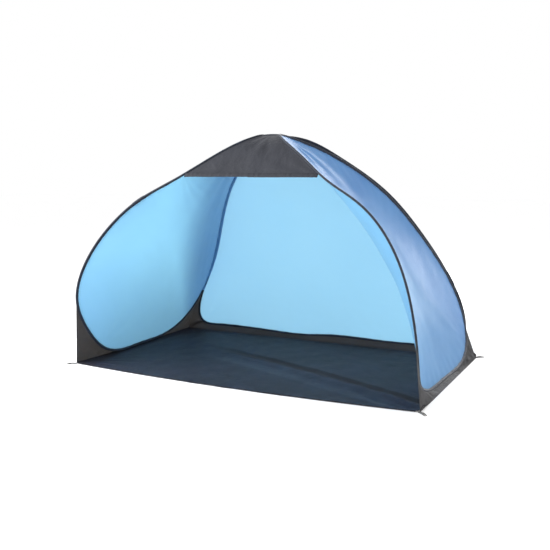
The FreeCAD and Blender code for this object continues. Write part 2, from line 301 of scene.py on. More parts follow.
# ---------------------------------------------------------------- shader maths
class Field:
    """A number that changes over a surface. Python's operators add the maths nodes."""

    def __init__(self, finish, socket):
        self.finish = finish
        self.socket = socket

    def maths(self, operation, *others):
        made = self.finish.node("ShaderNodeMath", {"operation": operation}, (self,) + others)
        return Field(self.finish, made.outputs[0])

    def __add__(self, other):
        return self.maths("ADD", other)

    def __sub__(self, other):
        return self.maths("SUBTRACT", other)

    def __rsub__(self, other):
        return self.maths("MULTIPLY", -1.0).maths("ADD", other)

    def __mul__(self, other):
        return self.maths("MULTIPLY", other)

    __radd__ = __add__
    __rmul__ = __mul__

    def __abs__(self):
        return self.maths("ABSOLUTE")

    def wave(self, length):
        """A sine along this field, one turn for each length."""
        return (self * (2 * math.pi / length)).maths("SINE")

    def rise(self, low, high):
        """0 below low and 1 above high."""
        settings = {"interpolation_type": "SMOOTHSTEP", "clamp": True}
        made = self.finish.node("ShaderNodeMapRange", settings, (self, low, high, 0.0, 1.0))
        return Field(self.finish, made.outputs[0])

    def band(self, centre, half):
        """1 within half of centre, and 0 outside."""
        return 1 - abs(self - centre).rise(half * 0.7, half * 1.3)


class Finish:
    """One material: a Principled shader and what feeds it."""

    def __init__(self, name, colour, roughness, metallic=0.0, sheen=0.0, specular=0.5):
        self.material = bpy.data.materials.new(name)
        self.material.use_nodes = True
        self.tree = self.material.node_tree
        self.tree.nodes.clear()
        self.output = self.tree.nodes.new("ShaderNodeOutputMaterial")
        self.shader = self.tree.nodes.new("ShaderNodeBsdfPrincipled")
        self.tree.links.new(self.shader.outputs[0], self.output.inputs["Surface"])
        self.set("Base Color", colour)
        self.set("Roughness", roughness)
        self.set("Metallic", metallic)
        self.set("Specular IOR Level", specular)
        self.set("Sheen Weight", sheen)
        self.set("Sheen Roughness", 0.45)

    def node(self, kind, settings=None, inputs=()):
        """Any node: its settings first, then its sockets in order or by name."""
        made = self.tree.nodes.new(kind)
        for key, value in (settings or {}).items():
            setattr(made, key, value)
        pairs = inputs.items() if isinstance(inputs, dict) else enumerate(inputs)
        for key, value in pairs:
            self.feed(made.inputs[key], value)
        return made

    def feed(self, socket, value):
        if isinstance(value, Field):
            value = value.socket
        if isinstance(value, bpy.types.NodeSocket):
            self.tree.links.new(value, socket)
        else:
            socket.default_value = value

    def set(self, name, value):
        self.feed(self.shader.inputs[name], value)

    def sheet_place(self, layer):
        """The two fields of one of the piece's own UV maps, in metres."""
        uv = self.node("ShaderNodeUVMap", {"uv_map": layer})
        parts = self.node("ShaderNodeSeparateXYZ", None, (uv.outputs[0],))
        return Field(self, parts.outputs[0]), Field(self, parts.outputs[1])

    def place(self):
        """The three fields of a point's own place in the frame, in metres."""
        place = self.node("ShaderNodeTexCoord").outputs["Object"]
        parts = self.node("ShaderNodeSeparateXYZ", None, (place,))
        return [Field(self, output) for output in parts.outputs]

    def noise(self, scale, detail=3.0, roughness=0.5, squash=(1, 1, 1)):
        place = self.node("ShaderNodeTexCoord").outputs["Object"]
        place = self.node("ShaderNodeMapping", None, {"Vector": place, "Scale": squash})
        inputs = {"Vector": place.outputs[0], "Scale": scale, "Detail": detail, "Roughness": roughness}
        return Field(self, self.node("ShaderNodeTexNoise", None, inputs).outputs["Fac"])

    def mix(self, factor, first, second):
        """The first colour where the factor is 0, and the second where it is 1."""
        made = self.node("ShaderNodeMix", {"data_type": "RGBA"})
        for socket, value in ((0, factor), (6, first), (7, second)):
            self.feed(made.inputs[socket], value)
        return made.outputs[2]

    def relief(self, height):
        """Bumps from a height in metres."""
        bump = self.node("ShaderNodeBump", None, {"Distance": 1.0, "Strength": 1.0, "Height": height})
        self.set("Normal", bump.outputs[0])

    def let_through(self, colour, share):
        """Light that the cloth lets through from its other side."""
        glow = self.node("ShaderNodeBsdfTranslucent", None, {"Color": colour})
        inputs = (share, self.shader.outputs[0], glow.outputs[0])
        mixed = self.node("ShaderNodeMixShader", None, inputs)
        self.tree.links.new(mixed.outputs[0], self.output.inputs["Surface"])


def colour(red, green, blue):
    """A colour given as it looks on a screen, from 0 to 255."""
    parts = []
    for value in (red, green, blue):
        value /= 255
        parts.append(value / 12.92 if value <= 0.04045 else ((value + 0.055) / 1.055) ** 2.4)
    return (*parts, 1.0)


def stitch_rows(edge, along, rows, thread=0.0006):
    """A mask of dashed stitches at set distances from an edge."""
    dashes = along.wave(STITCH).rise(-0.55, -0.25)
    found = 0.0
    for row in rows:
        found = edge.band(row, thread) + found
    return found * dashes


def painted_seam_shade(finish):
    """Painted shade: 1 beside a wing's rear seam and along its foot. It lowers the light let through
    there, standing in for the shade that falls on the wing.
    """
    _, y, z = finish.place()
    seam = (y + z * SEAM_SLOPE - SEAM_PLACE).rise(-0.52, -0.06)
    foot = 1 - z.rise(0.05, 0.75)
    return seam.maths("MAXIMUM", foot * 0.40)


def light_cloth(name, light, deep, glow, share, shade=None):
    """Thin polyester: plain weave, doubled and stitched hems, and light from behind."""
    finish = Finish(name, light, 0.55, sheen=0.04, specular=0.5)
    across, up = finish.sheet_place("cloth")
    edge, along = finish.sheet_place("edge")
    broad = finish.noise(2.6, 2.0)
    slub = finish.noise(900.0, 1.0, squash=(1, 1, 0.05))
    crinkle = finish.noise(26.0, 4.0, 0.62)
    weave = across.wave(WING_THREAD) * up.wave(WING_THREAD)
    hem = 1 - edge.rise(HEM_TURN - 0.0008, HEM_TURN + 0.0008)
    sewn = stitch_rows(edge, along, (0.0062, HEM_TURN - 0.002))
    body = finish.mix(broad.rise(0.32, 0.70) * 0.6 + slub * 0.12, light, deep)
    body = finish.mix(hem * 0.45, body, deep)
    body = finish.mix(crinkle.rise(0.55, 0.75) * 0.10, body, deep)
    body = finish.mix(sewn * 0.85, body, colour(24, 34, 58))
    finish.set("Base Color", body)
    finish.set("Roughness", 0.36 + crinkle * 0.16 + weave * 0.03)
    height = weave * 0.00003 + crinkle * 0.0011 + slub * 0.00004 + hem * 0.0003 - sewn * 0.0003
    finish.relief(height)
    # Where shade is given, painted shade lowers the light let through beside the rear seam and along
    # the foot.
    finish.let_through(glow, share - shade(finish) * 0.34 if shade else share)
    return finish.material


def floor_fold_painted_light_and_shade(finish):
    """Masks for the floor's fold: painted shade in the hollow behind the standing fold, and painted
    light on the slope in front of it.
    """
    x, y, _ = finish.place()
    off = y + x * CREST_SLOPE + x * x * CREST_BEND + CREST_PLACE
    run = x.rise(-0.62, -0.1)
    return off.band(0.050, 0.055) * run, off.band(-0.075, 0.075) * run


def dark_cloth(name, base, worn, thread, crease, roughness, piping=None, glow=None, folded=None):
    """Coated cloth: ribbed weave, creases, scuffed crests and a bound edge; where folded is given,
    painted shade and painted light about the floor's fold.
    """
    finish = Finish(name, base, roughness, sheen=0.04, specular=0.26)
    across, up = finish.sheet_place("cloth")
    edge, along = finish.sheet_place("edge")
    broad = finish.noise(3.1, 3.0)
    crinkle = finish.noise(34.0, 5.0, 0.65)
    fleck = finish.noise(420.0, 2.0)
    weave = across.wave(thread) * up.wave(thread)
    grid = across.wave(thread * 9).rise(0.93, 0.99) + up.wave(thread * 9).rise(0.93, 0.99)
    hem = 1 - edge.rise(HEM_TURN - 0.0008, HEM_TURN + 0.0008)
    sewn = stitch_rows(edge, along, (0.004, HEM_TURN - 0.002))
    body = finish.mix(broad.rise(0.35, 0.68) * 0.55 + fleck * 0.12, base, worn)
    body = finish.mix(crinkle.rise(0.56, 0.72) * 0.35 + grid * 0.05, body, worn)
    body = finish.mix(hem * 0.35, body, base)
    body = finish.mix(sewn * 0.7, body, worn)
    if piping:
        body = finish.mix(edge.band(0.0022, 0.0012), body, piping)
    if folded:
        # Painted shade: near black in the hollow behind the floor's fold. Painted light: the worn
        # colour on the slope in front of it.
        hollow, slope = folded(finish)
        body = finish.mix(slope * 0.45, finish.mix(hollow * 0.7, body, colour(5, 6, 11)), worn)
    finish.set("Base Color", body)
    dull = roughness + crinkle * 0.22 - 0.1 + weave * 0.03
    if folded:
        dull = dull + hollow * 0.30 - slope * 0.10
    finish.set("Roughness", dull)
    height = weave * 0.00006 + crinkle * crease + grid * 0.00008 + hem * 0.0004 - sewn * 0.0003
    finish.relief(height)
    if glow:
        finish.let_through(glow, 0.35)
    return finish.material


def tape_finish():
    """Navy binding tape: fine ribs along it, a stitched edge, and a crown rubbed paler."""
    base, worn = colour(15, 22, 36), colour(44, 56, 78)
    finish = Finish("binding tape", base, 0.6, sheen=0.2, specular=0.35)
    edge, along = finish.sheet_place("edge")
    rib = along.wave(0.0016)
    wear = finish.noise(18.0, 4.0, 0.6)
    crown = edge.rise(0.012, 0.019)
    fleck = finish.noise(600.0, 2.0)
    sewn = stitch_rows(edge, along, (0.0022, 0.0046), 0.0005)
    body = finish.mix(wear.rise(0.50, 0.78) * crown * 0.75 + rib.rise(0, 1) * 0.14, base, worn)
    body = finish.mix(fleck * 0.22, body, worn)
    body = finish.mix(sewn * 0.8, body, colour(80, 94, 122))
    finish.set("Base Color", body)
    finish.set("Roughness", 0.5 + wear * 0.25)
    finish.relief(rib * 0.00008 + wear * 0.0007 + sewn * 0.0003)
    return finish.material


def webbing_finish():
    """Flat webbing: a herringbone of coarse threads, fuzzy at its edges, and box stitching."""
    base, worn = colour(26, 26, 29), colour(74, 72, 72)
    finish = Finish("peg loop webbing", base, 0.72, sheen=0.25, specular=0.3)
    across, along = finish.sheet_place("cloth")
    slant = (along + abs(across)).wave(0.0030)
    cross = (along - abs(across)).wave(0.0030)
    fuzz = finish.noise(700.0, 3.0, 0.7)
    dirt = finish.noise(60.0, 4.0, 0.6)
    rows = abs(abs(across) - 0.0058).rise(0.0003, 0.0007)
    sewn = (1 - rows) * along.wave(STITCH).rise(-0.5, -0.2)
    body = finish.mix(slant.rise(-0.2, 0.9) * 0.35 + fuzz * 0.35, base, worn)
    body = finish.mix(dirt.rise(0.55, 0.75) * 0.4, body, colour(98, 90, 78))
    body = finish.mix(sewn * 0.8, body, colour(120, 120, 122))
    finish.set("Base Color", body)
    finish.set("Roughness", 0.62 + fuzz * 0.22)
    finish.relief(slant * 0.00016 + cross * 0.00008 + fuzz * 0.0002 + sewn * 0.0003)
    return finish.material


def metal_finish(name, base, worn, roughness, scratch):
    """Bare metal with fine scratches and dulled patches."""
    finish = Finish(name, base, roughness, metallic=1.0)
    dull = finish.noise(180.0, 3.0)
    lines = finish.noise(scratch, 2.0, 0.7, squash=(1, 0.08, 1))
    finish.set("Base Color", finish.mix(dull.rise(0.4, 0.72), base, worn))
    finish.set("Roughness", roughness + dull * 0.25 + lines.rise(0.55, 0.7) * 0.12 - 0.1)
    finish.relief(lines * 0.00004 + dull * 0.00003)
    return finish.material


# The back panel is the wings' cloth given a paler, more cyan colour: painted light, standing in for the
# light that comes through it from behind.
back_cloth_painted_paler = light_cloth(
    "back panel cloth", colour(164, 214, 236), colour(146, 206, 232), colour(200, 230, 243), 0.62
)
wing_cloth = light_cloth(
    "wing cloth", colour(104, 152, 206), colour(88, 136, 196), colour(198, 236, 246), 0.60,
    shade=painted_seam_shade,
)
awning_cloth = dark_cloth(
    "awning cloth", colour(35, 37, 44), colour(52, 54, 62), 0.0013, 0.0026, 0.64,
    piping=colour(22, 27, 33),
)
floor_cloth = dark_cloth(
    "coated floor", colour(7, 7, 23), colour(21, 20, 41), FLOOR_THREAD, 0.0022, 0.60,
    folded=floor_fold_painted_light_and_shade,
)
gusset_cloth = dark_cloth(
    "grey gusset cloth", colour(52, 51, 54), colour(80, 79, 80), 0.0013, 0.0032, 0.68,
    glow=colour(158, 155, 152),
)
skirt_cloth = dark_cloth(
    "skirt cloth", colour(28, 28, 32), colour(48, 48, 52), 0.0013, 0.0032, 0.66
)
tape = tape_finish()
webbing = webbing_finish()
spring_wire = metal_finish("spring wire", colour(150, 152, 156), colour(110, 112, 116), 0.3, 400.0)
eyelet_metal = metal_finish("eyelet nickel", colour(178, 176, 170), colour(120, 117, 112), 0.32, 900.0)


# ---------------------------------------------------------------- meshes from rows of points
def skin(name, points, maps, closed=False):
    """A piece from rows of points. Each UV map gives a pair in metres for every point."""
    rows, cols = points.shape[:2]
    spans = cols if closed else cols - 1
    r, c = (a.ravel() for a in np.meshgrid(np.arange(rows - 1), np.arange(spans), indexing="ij"))
    corners = ((r, c), (r, c + 1), (r + 1, c + 1), (r + 1, c))
    faces = np.stack([a * cols + b % cols for a, b in corners], axis=1)
    mesh = bpy.data.meshes.new(name)
    mesh.from_pydata(points.reshape(-1, 3), [], faces.tolist())
    for label, pairs in maps.items():
        layer = mesh.uv_layers.new(name=label)
        values = np.stack([pairs[a, b] for a, b in corners], axis=1)
        layer.data.foreach_set("uv", values.astype(np.float32).ravel())
    mesh.update()
    piece = bpy.data.objects.new(name, mesh)
    bpy.context.scene.collection.objects.link(piece)
    return piece


def mend(piece):
    """Joins doubled points, closes the ends and turns the faces outwards."""
    sewn = bmesh.new()
    sewn.from_mesh(piece.data)
    bmesh.ops.remove_doubles(sewn, verts=sewn.verts, dist=DOUBLED)
    bmesh.ops.holes_fill(sewn, edges=[e for e in sewn.edges if e.is_boundary])
    bmesh.ops.recalc_face_normals(sewn, faces=sewn.faces)
    sewn.to_mesh(piece.data)
    sewn.free()


def only(piece):
    bpy.ops.object.select_all(action="DESELECT")
    piece.select_set(True)
    bpy.context.view_layer.objects.active = piece


def finished(piece, material, stands_for=()):
    """Smooth shading, the finish, and the nodes that the piece stands for."""
    piece.data.materials.clear()
    piece.data.materials.append(material)
    only(piece)
    bpy.ops.object.shade_smooth_by_angle(angle=math.radians(50))
    if stands_for:
        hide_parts(*stands_for)


def thickened(piece, thickness, offset=0.0):
    only(piece)
    wall = piece.modifiers.new("thickness", "SOLIDIFY")
    wall.thickness = thickness
    wall.offset = offset
    wall.use_even_offset = False
    bpy.ops.object.modifier_apply(modifier=wall.name)


def area_of(points):
    across = points[1:, :-1] - points[:-1, :-1]
    along = points[:-1, 1:] - points[:-1, :-1]
    return float(np.linalg.norm(np.cross(across, along), axis=-1).sum())


# ---------------------------------------------------------------- stretched panels
def panel(name, hoop, dip, folds, material, seed):
    """A hoop's cloth, square-gridded over the whole disc, with tension folds and slack."""
    steps = np.linspace(-1, 1, 131)
    u, v = np.meshgrid(steps, steps, indexing="ij")
    x, y = u * np.sqrt(1 - v * v / 2), v * np.sqrt(1 - u * u / 2)
    reach, turn = np.minimum(np.hypot(x, y), 1), np.arctan2(y, x)
    place = np.mod(turn / (2 * math.pi), 1) * hoop.count
    spread = np.interp(place, np.arange(hoop.count + 1), np.append(hoop.spread, hoop.spread[0]))
    trimmed = reach * (1 - CLOTH_EDGE / spread)
    points = hoop.cloth(trimmed, turn)
    edge = (1 - reach) * spread
    hold = ease(edge, 0.0, 0.09)
    lift = -dip * (1 - reach * reach)
    lift = lift + hold * 0.0022 * ripple(points, 0.34, seed)
    lift = lift + hold * 0.0006 * ripple(points, 0.09, seed + 1)
    lift = lift + ease(edge, 0.0, 0.02) * fans(points, hoop.normal, folds)
    gathers = np.sin(place * 2 * math.pi * 52 / hoop.count + 1.3 * ripple(points, 0.3, seed + 2))
    lift = lift + 0.0011 * gathers * ease(edge, 0.0, 0.012) * np.exp(-edge / 0.05)
    points = points + lift[..., None] * hoop.normal
    side = unit(np.cross(hoop.normal, (0.0, 0.0, 1.0)))
    up = np.cross(side, hoop.normal)
    flat = np.stack([(points - hoop.middle) @ side, (points - hoop.middle) @ up], axis=-1)
    rim = np.stack([edge, turn / (2 * math.pi) * hoop.length], axis=-1)
    piece = skin(name, points, {"cloth": flat, "edge": rim})
    close_turn(piece, hoop.length)
    thickened(piece, CLOTH_THICK)
    finished(piece, material, (slot_node(name),))
    size = flat.reshape(-1, 2).max(axis=0) - flat.reshape(-1, 2).min(axis=0)
    width, height = (round(float(value) * 1.03 + 0.02, 2) for value in size)
    area = min(area_of(points), width * height)
    return piece


def slot_node(name):
    """A finished piece is named for its CAD node with _cloth after it."""
    return name.replace("_cloth", "")


def close_turn(piece, length):
    """Takes the jump out of faces that lie across the start of the turn round the hoop."""
    layer = piece.data.uv_layers["edge"]
    values = np.zeros(len(layer.data) * 2, np.float32)
    layer.data.foreach_get("uv", values)
    values = values.reshape(-1, 4, 2)
    low = values[:, :, 1].max(axis=1, keepdims=True) - values[:, :, 1] > length / 2
    values[:, :, 1] += low * length
    layer.data.foreach_set("uv", values.ravel())


def wing_folds(side):
    """Where each wing's cloth is pulled: its ridge corner, awning corner and lower corners."""
    return [
        (at(side, 0.09, -0.07, 0.985), at(side, 0.62, -0.02, 0.62), 0.0042, 0.42, 9),
        (at(side, *AWNING_CORNER), at(side, 0.50, 0.02, 0.72), 0.0026, 0.50, 12),
        (at(side, 0.95, -0.35, 0.06), at(side, 0.93, -0.05, 0.38), 0.0024, 0.50, 6),
        (at(side, 0.955, 0.42, 0.10), at(side, 0.92, 0.10, 0.36), 0.0006, 0.50, 6),
    ]


BACK_FOLDS = [
    (at(1, 0.0, -0.03, 0.985), at(1, 0.0, 0.22, 0.55), 0.0030, 0.55, 8),
    (at(1, 0.88, 0.507, 0.05), at(1, 0.55, 0.42, 0.30), 0.0024, 0.50, 6),
    (at(-1, 0.88, 0.507, 0.05), at(-1, 0.55, 0.42, 0.30), 0.0024, 0.50, 6),
]

right_panel = panel(
    "right_wing_panel_cloth", right_hoop, 0.012, wing_folds(1), wing_cloth, 3
)
left_panel = panel(
    "left_wing_panel_cloth", left_hoop, 0.012, wing_folds(-1), wing_cloth, 11
)
back_panel = panel("back_panel_cloth", back_hoop, 0.0, BACK_FOLDS, back_cloth_painted_paler, 19)
right_fold.with_wing(right_panel)
left_fold.with_wing(left_panel)
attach(back_panel, BODY)


# ---------------------------------------------------------------- sleeves, wires, ferrules
def swept(name, hoop, picks, outline, closed=True, swell=None):
    """An outline of (inward, across) pairs carried along the wire."""
    outline = np.array(outline)
    around = run_along(np.append(outline, outline[:1], axis=0))
    line, inward, turned = hoop.line[picks], hoop.inward[picks], hoop.turned[picks]
    run = run_along(np.append(line, line[:1], axis=0))
    scale = np.ones(len(picks)) if swell is None else swell
    shape = outline[:, None, :] * scale[None, :, None]
    points = line + shape[..., :1] * inward + shape[..., 1:] * turned
    nearest = np.minimum(around, around[-1] - around)
    pairs = np.zeros((len(around), len(picks) + 1, 2))
    pairs[..., 0] = nearest[:, None]
    pairs[..., 1] = run[None, :]
    points = np.append(points, points[:1], axis=0)
    piece = skin(name, points, {"edge": pairs, "cloth": pairs}, closed)
    mend(piece)
    return piece


def teardrop(round_radius, tail, count=16):
    """A sleeve's section: round over the wire, drawn out to its stitched edge."""
    outline = []
    for i in range(count):
        angle = 2 * math.pi * i / count
        out = round_radius + (tail - round_radius) * max(0.0, math.cos(angle)) ** 6
        outline.append((out * math.cos(angle), round_radius * math.sin(angle)))
    return outline


def circle(radius, count=12):
    turns = [2 * math.pi * i / count for i in range(count)]
    return [(radius * math.cos(t), radius * math.sin(t)) for t in turns]


def dress_hoop(prefix, hoop, follow, seed):
    """The wire, its ferrule, the sleeve and the patch over the sleeve's joint."""
    everywhere = np.arange(hoop.count)
    pucker = 1 + 0.035 * ripple(hoop.line, 0.035, seed) + 0.03 * ripple(hoop.line, 0.2, seed + 1)
    sleeve = swept(
        prefix + "_sleeve_cloth", hoop, everywhere, teardrop(SLEEVE_ROUND, SLEEVE_TAIL),
        swell=np.clip(pucker, 0.9, 1.12),
    )
    finished(sleeve, tape, (prefix + "_sleeve",))
    wire = swept(prefix + "_hoop_wire", hoop, everywhere[::3], circle(WIRE_ROUND, 8))
    finished(wire, spring_wire, (prefix + "_hoop",))
    low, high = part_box(prefix + "_sleeve_patch")
    joint = hoop.nearest(np.array((low + high) / 2))
    picks = np.arange(-6, 7)
    rim = np.abs(picks) / 6
    patch = swept(
        prefix + "_patch_cloth", hoop, (joint + picks) % hoop.count,
        teardrop(PATCH_ROUND, SLEEVE_TAIL + 0.0015), closed=False,
        swell=1 - 0.10 * rim**6 + 0.03 * np.cos(picks * 2.1),
    )
    finished(patch, tape, (prefix + "_sleeve_patch",))
    picks = np.arange(-4, 5)
    crimps = 1 - 0.07 * (np.abs(picks) % 2)
    ferrule = swept(
        prefix + "_ferrule_tube", hoop, (joint + picks) % hoop.count, circle(FERRULE_ROUND),
        closed=False, swell=crimps,
    )
    finished(ferrule, spring_wire, (prefix + "_hoop_ferrule",))
    for piece in (sleeve, wire, patch, ferrule):
        follow(piece)


dress_hoop("right_wing", right_hoop, right_fold.with_wing, 31)
dress_hoop("left_wing", left_hoop, left_fold.with_wing, 37)
dress_hoop("back", back_hoop, with_body, 43)


# ---------------------------------------------------------------- floor
def crest(x):
    """The line across the floor where the cloth stands up in a soft fold."""
    return -CREST_PLACE - CREST_SLOPE * x - CREST_BEND * x * x


def floor_height(points):
    x, y = points[..., 0], points[..., 1]
    off = y - crest(x)
    swell = ease(x, -0.62, -0.25) * (0.010 + 0.008 * ease(x, 0.0, 0.9))
    width = np.where(off > 0, 0.030, 0.055)
    height = swell * np.exp(-((off / width) ** 2))
    height = height + 0.0022 * (1 + ripple(points, 0.42, 71)) + 0.0010 * (1 + ripple(points, 0.13, 72))
    up = np.array((0.0, 0.0, 1.0))
    corners = [
        (at(1, 0.99, -0.50, 0.0), at(1, 0.62, -0.30, 0.0), 0.0045, 0.55, 7),
        (at(-1, 0.99, -0.50, 0.0), at(-1, 0.62, -0.30, 0.0), 0.0035, 0.55, 6),
        (at(-1, 0.97, 0.49, 0.0), at(-1, 0.55, 0.25, 0.0), 0.0030, 0.55, 6),
        (at(1, 0.97, 0.49, 0.0), at(1, 0.55, 0.25, 0.0), 0.0030, 0.55, 6),
    ]
    height = height + np.abs(fans(points, up, corners))
    under_wing = ease(np.abs(x), 0.86 * HALF_WIDTH, 0.93 * HALF_WIDTH)
    under_wing = under_wing * ease(y, -0.48 * HALF_DEPTH * 2, -0.30 * HALF_DEPTH * 2)
    near_back = ease(y, 0.90 * HALF_DEPTH, 0.96 * HALF_DEPTH)
    return np.clip(height * (1 - under_wing) * (1 - near_back), 0, 0.022)


def floor_front(x):
    """The bowed front edge, and the clipped corners."""
    bow = -HALF_DEPTH + (FRONT_MIDDLE + HALF_DEPTH) * (1 - (x / HALF_WIDTH) ** 2)
    return bow + np.maximum(np.abs(x) - (HALF_WIDTH - CORNER_CUT), 0)


def floor_half(side, fold, name):
    across = np.append(np.linspace(0, HALF_WIDTH - CORNER_CUT, 110), HALF_WIDTH)
    x = side * across
    share = np.linspace(0, 1, 131)
    front, rear = floor_front(x), HALF_DEPTH - np.maximum(across - (HALF_WIDTH - CORNER_CUT), 0)
    y = front[:, None] + (rear - front)[:, None] * share[None, :]
    flat = np.stack([np.repeat(x[:, None], len(share), axis=1), y, np.zeros_like(y)], axis=-1)
    rise = floor_height(flat)
    points = flat + np.stack([0 * rise, 0 * rise, rise + FLOOR_MIDDLE], axis=-1)
    gap = np.minimum(y - front[:, None], rear[:, None] - y)
    gap = np.minimum(HALF_WIDTH - np.abs(flat[..., 0]), gap)
    rim = np.stack([gap, flat[..., 0] + flat[..., 1]], axis=-1)
    if side < 0:
        points, flat, rim = points[::-1], flat[::-1], rim[::-1]
    piece = skin(name, points, {"cloth": flat[..., :2], "edge": rim})
    thickened(piece, FLOOR_THICK)
    finished(piece, floor_cloth, ("floor_sheet",))
    fold.with_floor(piece)
    size = (HALF_WIDTH + 0.01, HALF_DEPTH - FRONT_MIDDLE + 0.01)
    min(area_of(flat), size[0] * size[1])


floor_half(1, right_fold, "floor_cloth_right")
floor_half(-1, left_fold, "floor_cloth_left")


def sill_half(side, fold, name):
    """The floor's rolled front edge: a soft tube that flattens onto the sheet."""
    x = side * np.linspace(0, HALF_WIDTH - 2 * CORNER_CUT, 90)
    roll = 2 * math.pi * np.arange(13) / 12
    line = np.stack([x, floor_front(x) + SILL_BACK, np.full_like(x, SILL_MIDDLE)], axis=-1)
    slack = 1 + 0.12 * ripple(line, 0.07, 81)
    points = np.repeat(line[None], len(roll), axis=0)
    points[..., 1] += 0.0060 * np.cos(roll)[:, None]
    points[..., 2] += 0.0024 * np.sin(roll)[:, None] * slack[None, :]
    points[..., 2] = np.maximum(points[..., 2], 0.0004)
    edge = np.abs(np.sin(roll / 2))[:, None] * 0.017 + 0 * x[None, :]
    rim = np.stack([edge, np.abs(x)[None, :] + 0 * edge], axis=-1)
    piece = skin(name, points, {"cloth": rim, "edge": rim})
    mend(piece)
    finished(piece, floor_cloth, ("front_sill",))
    fold.with_floor(piece)


sill_half(1, right_fold, "front_sill_roll_right")
sill_half(-1, left_fold, "front_sill_roll_left")


# ---------------------------------------------------------------- grey skirts, gussets and webs
def strip(name, first, second, rows, crease, seed, node, follow, material=None):
    """Cloth between two lines of points, crumpled and a little slack."""
    share = np.linspace(0, 1, rows)[:, None, None]
    flat = first[None] * (1 - share) + second[None] * share
    across = unit(second - first + 1e-9)
    along = unit(np.gradient(first, axis=0) + np.gradient(second, axis=0))
    normal = unit(np.cross(along, across))
    hold = np.sin(np.pi * share[..., 0]) ** 0.7
    lift = crease * crumple(flat, 0.09, seed) * hold
    lift = lift + crease * 0.5 * ripple(flat, 0.05, seed + 3) * hold
    wide = np.linalg.norm(second - first, axis=1)
    run = run_along((first + second) / 2)
    ends = ease(run, 0.0, 0.04) * ease(run[-1] - run, 0.0, 0.04)
    points = flat + normal[None] * (lift * ends[None])[..., None]
    points[..., 2] = np.maximum(points[..., 2], FLOOR_FACE)
    u = share[..., 0] * wide[None, :]
    pairs = np.stack([u, np.repeat(run[None], rows, axis=0)], axis=-1)
    gap = np.minimum(u, wide[None, :] - u)
    rim = np.stack([gap, pairs[..., 1]], axis=-1)
    piece = skin(name, points, {"cloth": pairs, "edge": rim})
    thickened(piece, CLOTH_THICK)
    finished(piece, material or gusset_cloth, (node,) if node else ())
    follow(piece)
    size = (round(float(run[-1]) * 1.04 + 0.01, 3), round(float(wide.max()) * 1.04 + 0.01, 3))
    area = area_of(points)
    area = max(min(area, size[0] * size[1]), LEAST_AREA * size[0] * size[1])


def toward(points, targets, hoop, picks, gap):
    """Points moved square to the wire, each towards its own target."""
    way = targets - points
    along = hoop.along[picks]
    way = unit(way - along * (way * along).sum(axis=1, keepdims=True))
    return points + way * gap


def grey_work(side, hoop, fold):
    """The skirt under the wing, the front and rear gussets, and the web beside the back."""
    word = "right" if side > 0 else "left"
    under = SLEEVE_ROUND * 0.8

    def down_to(picks, reach):
        """The line under the sleeve, and the line on the floor's edge that it comes down to."""
        count = len(picks)
        outer = [np.full(count, side * FLOOR_EDGE), reach, np.full(count, FLOOR_FACE)]
        outer = np.stack(outer, axis=-1)
        return toward(hoop.line[picks], outer, hoop, picks, under), outer

    picks = hoop.stretch(at(side, *FRONT_TURN), at(side, *REAR_TURN), 60)
    inner, outer = down_to(picks, hoop.line[picks][:, 1])
    strip(
        word + "_skirt_cloth", inner, outer, 9, 0.0012, 91, word + "_skirt", fold.with_wing,
        skirt_cloth,
    )

    picks = hoop.stretch(at(side, *GUSSET_TOP), at(side, *FRONT_TURN), 64)
    share = np.linspace(0, 1, 64)
    turn = hoop.line[picks][-1, 1]
    inner, outer = down_to(picks, FRONT_TACK + (turn - FRONT_TACK) * share**2)
    strip(
        word + "_front_gusset_cloth", inner, outer, 34, 0.0060, 93,
        word + "_front_gusset", fold.with_wing,
    )

    picks = hoop.stretch(at(side, *REAR_TURN), at(side, *REAR_GUSSET_TOP), 64)
    turn = hoop.line[picks][0, 1]
    inner, outer = down_to(picks, turn + (REAR_TACK - turn) * (1 - (1 - share) ** 2))
    gusset_edge = (inner[-1], outer[-1])
    strip(
        word + "_rear_gusset_cloth", inner, outer, 34, 0.0050, 95,
        word + "_rear_gusset", fold.with_wing,
    )

    picks = back_hoop.stretch(at(side, *BACK_CORNER), at(side, *WEB_HEAD), 50)[::-1]
    back_line = back_hoop.line[picks]
    wing_picks = hoop.stretch(at(side, *WEB_TOP), at(side, *REAR_GUSSET_TOP), 32)
    wing_line = hoop.line[wing_picks]
    down = np.linspace(0, 1, 19)[1:, None]
    outer = np.vstack([wing_line, gusset_edge[0] * (1 - down) + gusset_edge[1] * down])
    inner = toward(back_line, outer, back_hoop, picks, under)
    strip(
        word + "_corner_web_cloth", inner, outer, 22, 0.0030, 97,
        word + "_corner_web", with_body,
    )


grey_work(1, right_hoop, right_fold)
grey_work(-1, left_hoop, left_fold)

# The strip under the back panel runs on past the hoop's corners, down to the floor's.
skirt_low, skirt_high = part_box("back_skirt")
skirt_x = np.linspace(-1, 1, 160) * FLOOR_EDGE
past = ease(np.abs(skirt_x), skirt_high.x - 0.06, HALF_WIDTH)
foot_y = skirt_low.y + (REAR_TACK - skirt_low.y) * past
skirt_foot = np.stack([skirt_x, foot_y, np.full(160, FLOOR_FACE)], axis=-1)
foot_picks = [back_hoop.nearest(point + np.array((0, 0.01, 0.03))) for point in skirt_foot]
skirt_head = back_hoop.line[foot_picks]
fall = 1 - np.clip((np.abs(skirt_x) - skirt_high.x) / (HALF_WIDTH - skirt_high.x), 0, 1)
corner_lift = 0.008 + 0.024 * ease(np.abs(skirt_x), skirt_high.x - 0.05, skirt_high.x)
head_z = np.minimum(skirt_head[:, 2], skirt_high.z + corner_lift) * fall**0.45 + 0.004
skirt_head = np.stack([skirt_x, skirt_head[:, 1] - 0.003, head_z], axis=-1)
strip(
    "back_skirt_cloth", skirt_head, skirt_foot, 9, 0.0016, 99, "back_skirt", with_body
)


